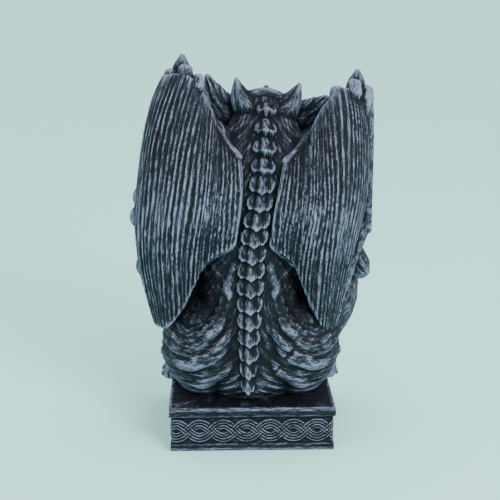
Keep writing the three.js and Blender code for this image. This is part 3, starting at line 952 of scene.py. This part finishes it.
def attribute(mesh: bpy.types.Mesh, name: str, kind: str, values: Points) -> None:
    """Gives a mesh an attribute.

    Args:
        mesh: The mesh.
        name: Name of the attribute.
        kind: FLOAT or FLOAT_VECTOR.
        values: One number or row for each vertex.
    """
    made = mesh.attributes.new(name, kind, "POINT")
    made.data.foreach_set("value" if kind == "FLOAT" else "vector", values.astype(np.float32).ravel())


def wear(skin: Skin, fine: int, coarse: int, gain: float, base: float) -> Points:
    """How much paint a brush leaves on each vertex: more on what stands proud.

    Args:
        skin: The skin.
        fine: Passes of evening for the small forms.
        coarse: Passes of evening for the large forms.
        gain: Paint for a millimetre of height above the surroundings.
        base: Paint where the skin is as high as its surroundings.

    Returns:
        Values from -0.2 to 1.1.
    """
    out = skin.facing()
    total = np.zeros(len(skin.spots))
    for passes, weight in ((fine, 1.0), (coarse, COARSE_WEIGHT)):
        proud = ((skin.spots - skin.blur(skin.spots, passes)) * out).sum(1)
        total += weight * proud
    return np.clip(base + gain * total, -0.2, 1.1)


@dataclass
class Beast:
    """The whole gargoyle as one skin."""

    finish: StoneFinish
    voxel: float = 0.5
    triangles: int = 194000
    lean_deg: float = 5
    lean_from: float = 55
    lean_full: float = 120
    stand: float = 24
    hip: tuple = (34, 56)
    snap: float = 0.06
    # heights of the carved locks of fur and rolls of hide, and the width of a roll
    lock: float = 0.42
    thin_lock: float = 0.24
    roll: float = 0.75
    roll_width: float = 6.05
    belly_roll: float = 0.45
    # how the brushed paint changes on the wings and on the trunk, and how much painted shade darkens the
    # hollow round the hips
    wing_gain: float = 1.5
    wing_less: float = 0.24
    trunk_less: float = 0.14
    hip_painted_shade: float = 0.3
    # wrinkles of each kind of skin as height, width, length and pattern
    wrinkles: dict = field(
        default_factory=lambda: {
            Kind.BARE: (0.25, 1.6, 4, 6),
            Kind.HORN: (0.4, 1.5, 12, 6),
            Kind.PLATE: (0.22, 0.9, 3, 7),
        }
    )

    def clay(self) -> Clay:
        """Models every part.

        Returns:
            The closed shapes before they are melted together.
        """
        clay = Clay()
        torso = Torso()
        parts = [
            torso, SpinePlates(torso), Head(),
            Leg(Side.LEFT, 44), Leg(Side.RIGHT, 52),
            Arm(Side.LEFT, (51, -4, 66)), Arm(Side.RIGHT, (61, -9, 63)),
            Wing(Side.LEFT, 1.05), Wing(Side.RIGHT, 0.92),
        ]
        for part in parts:
            part.model(clay)
            log.info("modelled %s, %d vertices so far", type(part).__name__, len(clay.bm.verts))
        return clay

    def grain(self, clay: Clay, tree: BVHTree, spots: Points) -> tuple[Points, Points]:
        """The kind and grain of the nearest modelled shape at some places.

        Args:
            clay: The modelled shapes, triangulated.
            tree: A search tree over them.
            spots: The places.

        Returns:
            The kinds as numbers, and the grain across and along.
        """
        clay.bm.faces.ensure_lookup_table()
        table = np.array([[v.index for v in face.verts] for face in clay.bm.faces])
        kinds = np.array([face.material_index for face in clay.bm.faces])
        base = np.array([v.co for v in clay.bm.verts])
        lines = np.array([v[clay.grain] for v in clay.bm.verts])
        found = [tree.find_nearest(spot) for spot in spots]
        near = np.array([hit[0] for hit in found])
        index = np.array([hit[2] for hit in found])
        corner = table[index]
        a, b, c = (base[corner[:, k]] for k in range(3))
        ab, ac, ap = b - a, c - a, near - a
        d00, d01, d11 = (ab * ab).sum(1), (ab * ac).sum(1), (ac * ac).sum(1)
        d20, d21 = (ap * ab).sum(1), (ap * ac).sum(1)
        area = np.maximum(d00 * d11 - d01 * d01, 1e-9)
        wb = np.clip((d11 * d20 - d01 * d21) / area, 0, 1)
        wc = np.clip((d00 * d21 - d01 * d20) / area, 0, 1)
        line = lines[corner]
        period = line[:, 0, 2]
        low = line[:, :, 0].max(1)[:, None] - line[:, :, 0]
        across = line[:, :, 0] + np.where(low > period[:, None] / 2, period[:, None], 0)
        weights = np.stack([1 - wb - wc, wb, wc], 1)
        return kinds[index], np.stack([(across * weights).sum(1), (line[:, :, 1] * weights).sum(1)], 1)

    def flow(self, spots: Points) -> tuple[Points, Points, Points]:
        """Where the fur runs on the trunk: rings round each hip below, bands from the spine above.

        Args:
            spots: Places on the skin.

        Returns:
            The grain in the rings, the grain in the bands, and the share of the bands.
        """
        x, z = np.abs(spots[:, 0]), spots[:, 2]
        across, up = x - self.hip[0], z - self.hip[1]
        rings = np.stack([-np.hypot(across, up), np.arctan2(-up, -across) * 32], 1)
        bands = np.stack([z * 0.55 + x, z - 0.55 * x], 1) / 1.14
        return rings, bands, smooth(62, 96, z + 0.4 * x)

    def carve(self, skin: Skin, kinds: Points, grain: Points) -> None:
        """Cuts folds, locks of fur and wrinkles into the skin.

        Args:
            skin: The skin.
            kinds: Kind of each vertex.
            grain: Grain of each vertex.
        """
        spots = skin.spots
        rings, bands, share = self.flow(spots)

        def locks(lines: Points, seed: int) -> Points:
            """Locks of fur in millimetres, along the grain."""
            bend = lines[:, 0] + 1.1 * noise(lines[:, 0] / 9, lines[:, 1] / 8, seed + 5)
            thick = 1 - np.abs(noise(bend / 2.1, lines[:, 1] / 13, seed)) * 2
            thin = 1 - np.abs(noise(bend / 1.05, lines[:, 1] / 7, seed + 1)) * 2
            return self.lock * thick + self.thin_lock * thin

        def rolls(lines: Points) -> Points:
            """Rolls of hide in millimetres, across the grain."""
            wander = 2.5 * noise(lines[:, 0] / 16, lines[:, 1] / 22, 9)
            wave = (lines[:, 0] + 22.6 + wander) / self.roll_width + 0.5
            return self.roll * (np.sqrt(1 - (2 * (wave % 1) - 1) ** 2 * 0.96) - 0.6)

        below = rolls(rings) * smooth(9, 20, -rings[:, 0]) + locks(rings, 1)
        above = rolls(bands) * 0.7 + locks(bands, 2)
        back = below * (1 - share) + above * share
        ripple = self.belly_roll * np.cos(spots[:, 2] / 7.5 * math.pi) * smooth(95, 80, spots[:, 2])
        belly = ripple + locks(spots[:, [0, 2]], 4) * 0.6
        behind = smooth(-6, 8, spots[:, 1])
        body = back * behind + belly * (1 - behind)
        relief = np.where(kinds == Kind.BODY.value, body, 0)
        relief += np.where(kinds == Kind.HIDE.value, locks(grain, 3), 0)
        for kind, (height, wide, long, seed) in self.wrinkles.items():
            wrinkle = height * noise(grain[:, 0] / wide, grain[:, 1] / long, seed)
            relief += np.where(kinds == kind.value, wrinkle, 0)
        relief = skin.blur(relief, 2, 0.5)
        relief *= smooth(0, 1.5, spots[:, 2])
        skin.spots = spots + skin.facing() * relief[:, None]

    def paint(self, skin: Skin, kinds: Points, grain: Points) -> tuple[Points, Points]:
        """How much paint is brushed on, less painted shade round the hips, and which way the brush runs.

        Args:
            skin: The carved skin, still upright.
            kinds: Kind of each vertex.
            grain: Grain of each vertex.

        Returns:
            The paint on each vertex, with painted shade taken off round the hips, and the grain with the
            trunk's own flow filled in.
        """
        spots = skin.spots
        rings, bands, share = self.flow(spots)
        lines = np.where(share[:, None] > 0.5, bands, rings)
        lines = np.where(spots[:, 1:2] > 1, lines, spots[:, [0, 2]])
        trunk = kinds == Kind.BODY.value
        paint_and_shade = wear(skin, fine=6, coarse=30, gain=1.1, base=0.3)
        paint_and_shade = np.where(kinds == Kind.WING.value, self.wing_gain * paint_and_shade - self.wing_less, paint_and_shade)
        # painted shade: the hollow round each hip, under the wing's foot, is darkened in the colour
        hollow = self.hip_painted_shade * smooth(22, 8, -rings[:, 0]) * smooth(-2, 8, spots[:, 1])
        paint_and_shade = np.where(trunk, paint_and_shade - self.trunk_less - hollow, paint_and_shade)
        return paint_and_shade, np.where(trunk[:, None], lines, grain)

    def lean(self, spots: Points) -> Points:
        """Leans the upright beast over and sets it on the plinth.

        Args:
            spots: Places of the upright beast.

        Returns:
            Their places on the plinth, in millimetres.
        """
        turn = math.radians(self.lean_deg) * smooth(self.lean_from, self.lean_full, spots[:, 2])
        rise = spots[:, 2] - self.lean_from
        above = np.maximum(rise, 0)
        x = spots[:, 0] * np.cos(turn) - above * np.sin(turn)
        z = spots[:, 0] * np.sin(turn) + self.lean_from + np.where(rise > 0, rise * np.cos(turn), rise)
        return np.stack([x, spots[:, 1], z + self.stand], 1)

    def build(self) -> bpy.types.Object:
        """Models, melts, carves, leans and dresses the beast.

        Returns:
            The finished piece.
        """
        clay = self.clay()
        tree = BVHTree.FromBMesh(clay.bm)
        mesh = bpy.data.meshes.new("clay")
        clay.bm.to_mesh(mesh)
        mesh.materials.clear()
        mesh = evaluated(mesh, "REMESH", mode="VOXEL", voxel_size=self.voxel, adaptivity=0)
        log.info("melted into %d vertices", len(mesh.vertices))
        mesh = self.outside(mesh)
        skin = Skin(mesh)
        skin.spots = skin.blur(skin.spots, 2, 0.5)
        skin.store()
        kinds, grain = self.grain(clay, tree, skin.spots)
        log.info("grain found")
        self.carve(skin, kinds, grain)
        skin.store()
        mesh = self.flatten(mesh)
        mesh = evaluated(mesh, "DECIMATE", ratio=min(1.0, self.triangles / max(1, self.count(mesh))))
        skin = Skin(mesh)
        skin.spots[np.abs(skin.spots[:, 2]) < self.snap, 2] = 0
        kinds, grain = self.grain(clay, tree, skin.spots)
        paint_and_shade, grain = self.paint(skin, kinds, grain)
        skin.spots = self.lean(skin.spots)
        low, high = (np.array(corner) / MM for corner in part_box("gargoyle"))
        over = max((low - skin.spots.min(0)).max(), (skin.spots.max(0) - high).max())
        log.info("beast stood %.2f mm beyond its frame before it was kept in", max(0.0, over))
        skin.spots = np.clip(skin.spots, low, high) * MM
        skin.store()
        # the paint attribute carries the painted shade round the hips as well as the brushed paint
        attribute(mesh, "paint_and_shade", "FLOAT", paint_and_shade)
        attribute(mesh, "grain", "FLOAT_VECTOR", np.hstack([grain, kinds[:, None]]))
        mesh.shade_smooth()
        mesh.materials.clear()
        mesh.materials.append(self.finish.material())
        mesh.polygons.foreach_set("material_index", np.zeros(len(mesh.polygons), np.int32))
        clay.bm.free()
        made = linked("gargoyle_carved", mesh)
        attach(made, "root")
        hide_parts("gargoyle")
        return made

    def count(self, mesh: bpy.types.Mesh) -> int:
        """Triangles that a mesh draws as."""
        mesh.calc_loop_triangles()
        return len(mesh.loop_triangles)

    def outside(self, mesh: bpy.types.Mesh) -> bpy.types.Mesh:
        """Takes out pockets sealed inside the skin.

        Args:
            mesh: The melted mesh.

        Returns:
            The same mesh with one skin.
        """
        keep = Skin(mesh).largest()
        bm = bmesh.new()
        bm.from_mesh(mesh)
        bm.verts.ensure_lookup_table()
        bmesh.ops.delete(bm, geom=[bm.verts[i] for i in np.nonzero(~keep)[0]], context="VERTS")
        bm.to_mesh(mesh)
        bm.free()
        log.info("kept %d of %d vertices", keep.sum(), len(keep))
        return mesh

    def flatten(self, mesh: bpy.types.Mesh) -> bpy.types.Mesh:
        """Cuts the skin flat where it stands on the plinth.

        Args:
            mesh: The carved mesh.

        Returns:
            The cut mesh.
        """
        bm = bmesh.new()
        width = 300
        bmesh.ops.create_cube(bm, size=width)
        bmesh.ops.translate(bm, verts=bm.verts, vec=(0, 0, -width / 2))
        under = bpy.data.meshes.new("under")
        bm.to_mesh(under)
        bm.free()
        cutter = linked("under", under)
        cut = evaluated(mesh, "BOOLEAN", operation="DIFFERENCE", solver="MANIFOLD", object=cutter)
        bpy.data.objects.remove(cutter)
        bpy.data.meshes.remove(under)
        return cut


@dataclass
class Plinth:
    """The square plinth with its band of interlaced straps."""

    finish: StoneFinish
    side: float = 88
    height: float = 24
    top: float = 4.8
    foot: float = 4.2
    recess: float = 1.6
    inset: float = 0.7
    chamfer: float = 0.8
    pitch: float = 12.4
    first: float = 3.2
    swing: float = 3.7
    gap: float = 3.0
    strap: float = 2.2
    rise: float = 0.9
    segments: int = 4 * 264
    moulding_worn: float = 0.6
    # how much paint the plinth's top keeps: less paint on the flat top, darkened further as painted shadow of
    # the beast
    top_paint_and_shadow: float = 0.35
    # each chip's place, radius and depth: three on the rim at one corner and one on the foot
    chips: tuple = (
        ((43.5, 42.5, 24.4), 4.2, 1.0),
        ((36.5, 44.2, 24.3), 3.0, 0.8),
        ((31, 44.4, 24.2), 2.2, 0.6),
        ((22, 43.6, 2.0), 1.5, 0.6),
    )

    def knot(self, x: Points, z: Points) -> Points:
        """Height of the interlace above the panel.

        Args:
            x: Places along the panel from its middle.
            z: Places up the panel from its middle.

        Returns:
            Heights in millimetres.
        """
        angle = math.pi * (x - self.first) / self.pitch - math.pi / 2
        nearest = np.round((x - self.first) / self.pitch) * self.pitch + self.first
        u = x - nearest
        grade = self.swing * math.pi / self.pitch
        reach = self.gap / 2 * math.sqrt(1 + grade**2)
        spot = reach / grade

        def hill(du: Points, dz: Points) -> Points:
            """A smooth hill round a crossing."""
            return np.exp(-((du / 1.5) ** 2) - (dz / 1.5) ** 2)

        weave = hill(u - spot, z) + hill(u + spot, z) - hill(u, z - reach) - hill(u, z + reach)
        shapes, covers = [], []
        for sign in (1, -1):
            middle = sign * self.swing * np.cos(angle)
            slope = -sign * grade * np.sin(angle)
            off = (z - middle) / np.sqrt(1 + slope**2)
            above = 0.5 - 0.5 * np.sign(slope) * np.clip(2.4 * weave, -1, 1)
            near = np.minimum(np.abs(off - self.gap / 2), np.abs(off + self.gap / 2)) / (self.strap / 2)
            shape = smooth(1.1, 0.84, near) * (0.62 + 0.38 * smooth(0.15, 0.62, near))
            shapes.append(shape * (0.55 + 0.45 * above))
            covers.append(smooth(1.5, 1.2, near) * smooth(0.55, 0.85, above))
        height = np.maximum(shapes[0] * (1 - covers[1]), shapes[1] * (1 - covers[0]))
        return height * self.rise

    def outline(self) -> Points:
        """Half of the plinth's section.

        Returns:
            Distances from the middle and heights, from the middle of the underside to that of the top.
        """
        half = self.side / 2
        foot, panel = half - self.inset, half - self.recess
        low, high = self.foot, self.height - self.top
        outline = [
            (0, 0), (foot * 0.5, 0), (foot - self.chamfer, 0), (foot - 0.25, 0.25), (foot, self.chamfer),
        ]
        outline += [(foot, z) for z in np.linspace(self.chamfer + 0.45, low - 0.7, 6)]
        outline += [(foot - 0.2, low - 0.25), (foot - 0.6, low - 0.05)]
        outline += [(panel, z) for z in np.linspace(low, high - self.chamfer, 46)]
        outline += [(panel + 0.5, high - 0.35), (half - 0.5, high - 0.1)]
        outline += [(half, z) for z in np.linspace(high + 0.4, self.height - 1.0, 9)]
        outline += [
            (half - 0.35, self.height - 0.3),
            (half - 1.0, self.height), (half - 2.2, self.height), (half * 0.6, self.height), (0, self.height),
        ]
        return np.array(outline)

    def build(self) -> bpy.types.Object:
        """Models and dresses the plinth.

        Returns:
            The finished piece.
        """
        outline = self.outline()
        half, panel = self.side / 2, self.side / 2 - self.recess
        low, high = self.foot, self.height - self.top
        bm = bmesh.new()
        rows = len(outline) - 1
        made = bmesh.ops.create_uvsphere(bm, u_segments=self.segments, v_segments=rows, radius=1)["verts"]
        ball = np.array([v.co for v in made])
        row = rows - np.arccos(np.clip(ball[:, 2], -1, 1)) / math.pi * rows
        row = np.round(row).astype(int)
        turn = (np.arctan2(ball[:, 1], ball[:, 0]) / (math.pi / 2) + 0.5) % 4
        quarter = np.floor(turn)
        run = (turn - quarter) * 2 - 1
        reach, z = outline[row, 0], outline[row, 1]
        along = run * reach
        middle = (low + high - self.chamfer) / 2
        inside = smooth(half - 1.2, half - 2.6, np.abs(along)) * (np.abs(reach - panel) < 1e-6)
        out = reach + self.knot(along, z - middle) * inside
        out -= np.where(np.abs(reach) > half * 0.7, 0.06 * (1 + noise(along / 2.3, z / 2.3, 11)), 0)
        angle = quarter * math.pi / 2
        cos, sin = np.cos(angle), np.sin(angle)
        spots = np.stack([out * cos - along * sin, out * sin + along * cos, z], 1)
        spots = self.chip(spots)
        for vert, spot in zip(made, spots):
            vert.co = Vector(spot) * MM
        bmesh.ops.recalc_face_normals(bm, faces=bm.faces)
        mesh = bpy.data.meshes.new("plinth_carved")
        bm.to_mesh(mesh)
        bm.free()
        skin = Skin(mesh)
        skin.spots /= MM
        paint_and_shade = wear(skin, fine=6, coarse=20, gain=2.8, base=0.14)
        paint_and_shade = np.where(np.abs(reach - panel) > 1e-3, paint_and_shade * self.moulding_worn, paint_and_shade)
        # the flat top is darkened partly for less paint and partly as painted shadow cast by the beast
        on_top = (spots[:, 2] > self.height - 0.4) & (reach < half - 1.5)
        paint_and_shade = np.where(on_top, paint_and_shade * self.top_paint_and_shadow, paint_and_shade)
        attribute(mesh, "paint_and_shade", "FLOAT", paint_and_shade)
        attribute(mesh, "grain", "FLOAT_VECTOR", np.stack([spots[:, 2] + 50, along + 50, row], 1))
        mesh.shade_smooth()
        mesh.materials.append(self.finish.material())
        made = linked("plinth_carved", mesh)
        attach(made, "root")
        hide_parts("plinth")
        return made

    def chip(self, spots: Points) -> Points:
        """Knocks chips off the rim at one corner and one off the foot.

        Args:
            spots: Places of the plinth's vertices.

        Returns:
            Their places with the chips taken off.
        """
        rim = self.height - 2.2
        for centre, radius, deep in self.chips:
            away = spots - centre
            far = np.linalg.norm(away, axis=1)
            rough = radius * (1 + 0.25 * noise(spots[:, 0] * 1.3, spots[:, 2] * 1.3 + spots[:, 1], 21))
            push = np.clip(1 - far / rough, 0, 1) * deep
            inward = unit(np.array([[-centre[0], -centre[1], 0.0]]) * [[0.02, 0.02, 1]])
            spots = spots + inward * push[:, None]
            if centre[2] > rim:
                spots[:, 2] -= push * 0.9
        return spots


@dataclass(frozen=True)
class PaleFloor:
    """A plain pale floor."""

    colour: Triple = (0.5, 0.97, 0.86)
    side: float = 60.0

    def build(self) -> None:
        """Lays the floor."""
        bm = bmesh.new()
        bmesh.ops.create_grid(bm, x_segments=1, y_segments=1, size=self.side / 2)
        mesh = bpy.data.meshes.new("floor")
        bm.to_mesh(mesh)
        bm.free()
        made = bpy.data.materials.new("floor_matt")
        made.use_nodes = True
        shader = made.node_tree.nodes["Principled BSDF"]
        shader.inputs["Base Color"].default_value = (*self.colour, 1)
        shader.inputs["Roughness"].default_value = 0.9
        mesh.materials.append(made)
        floor = linked("floor", mesh)


@dataclass
class Studio:
    """The camera, lamps and surroundings."""

    lens: float = 85.39
    place: Triple = (0.017, 0.627, 0.254)
    down_deg: float = 13.9
    yaw_deg: float = 1.545
    aim: Triple = (0, 0, 0.1)
    sky: Triple = (0.92, 0.96, 1)
    sky_power: float = 1.5
    # each lamp's name, place, power in watts and side in metres
    lamps: tuple = (
        ("key", (-0.6, 1.0, 0.6), 18, 0.5),
        ("fill", (0.95, 0.8, 0.3), 4, 0.8),
    )

    def lamp(self, name: str, place: Triple, power: float, size: float) -> None:
        """Adds a square soft lamp that points at the figure.

        Args:
            name: Its name.
            place: Where it stands.
            power: Its power in watts.
            size: Its side in metres.
        """
        data = bpy.data.lights.new(name, "AREA")
        data.energy, data.size = power, size
        lamp = linked(name, data)
        lamp.location = place
        lamp.rotation_euler = (Vector(self.aim) - Vector(place)).to_track_quat("-Z", "Y").to_euler()

    def build(self) -> None:
        """Sets up the camera, lamps and surroundings."""
        data = bpy.data.cameras.new("camera")
        data.sensor_width, data.lens = 36, self.lens
        data.clip_start, data.clip_end = 0.05, 20
        camera = linked("camera", data)
        camera.location = self.place
        camera.rotation_euler = (math.radians(90 - self.down_deg), 0, math.radians(180 - self.yaw_deg))
        bpy.context.scene.camera = camera
        for name, place, power, size in self.lamps:
            self.lamp(name, place, power, size)
        world = bpy.data.worlds.new("surroundings")
        world.use_nodes = True
        background = world.node_tree.nodes["Background"]
        background.inputs["Color"].default_value = (*self.sky, 1)
        background.inputs["Strength"].default_value = self.sky_power
        bpy.context.scene.world = world
        PaleFloor().build()


def main() -> None:
    """Builds the object in order, then the studio."""
    logging.basicConfig(level=logging.INFO, format="%(asctime)s %(message)s")
    plinth = Plinth(StoneFinish("plinth_stone", stroke=0.9)).build()
    log.info("%s has %d faces", plinth.name, len(plinth.data.polygons))
    beast = Beast(StoneFinish("gargoyle_stone")).build()
    log.info("%s has %d faces", beast.name, len(beast.data.polygons))
    Studio().build()


if __name__ == "__main__":
    main()
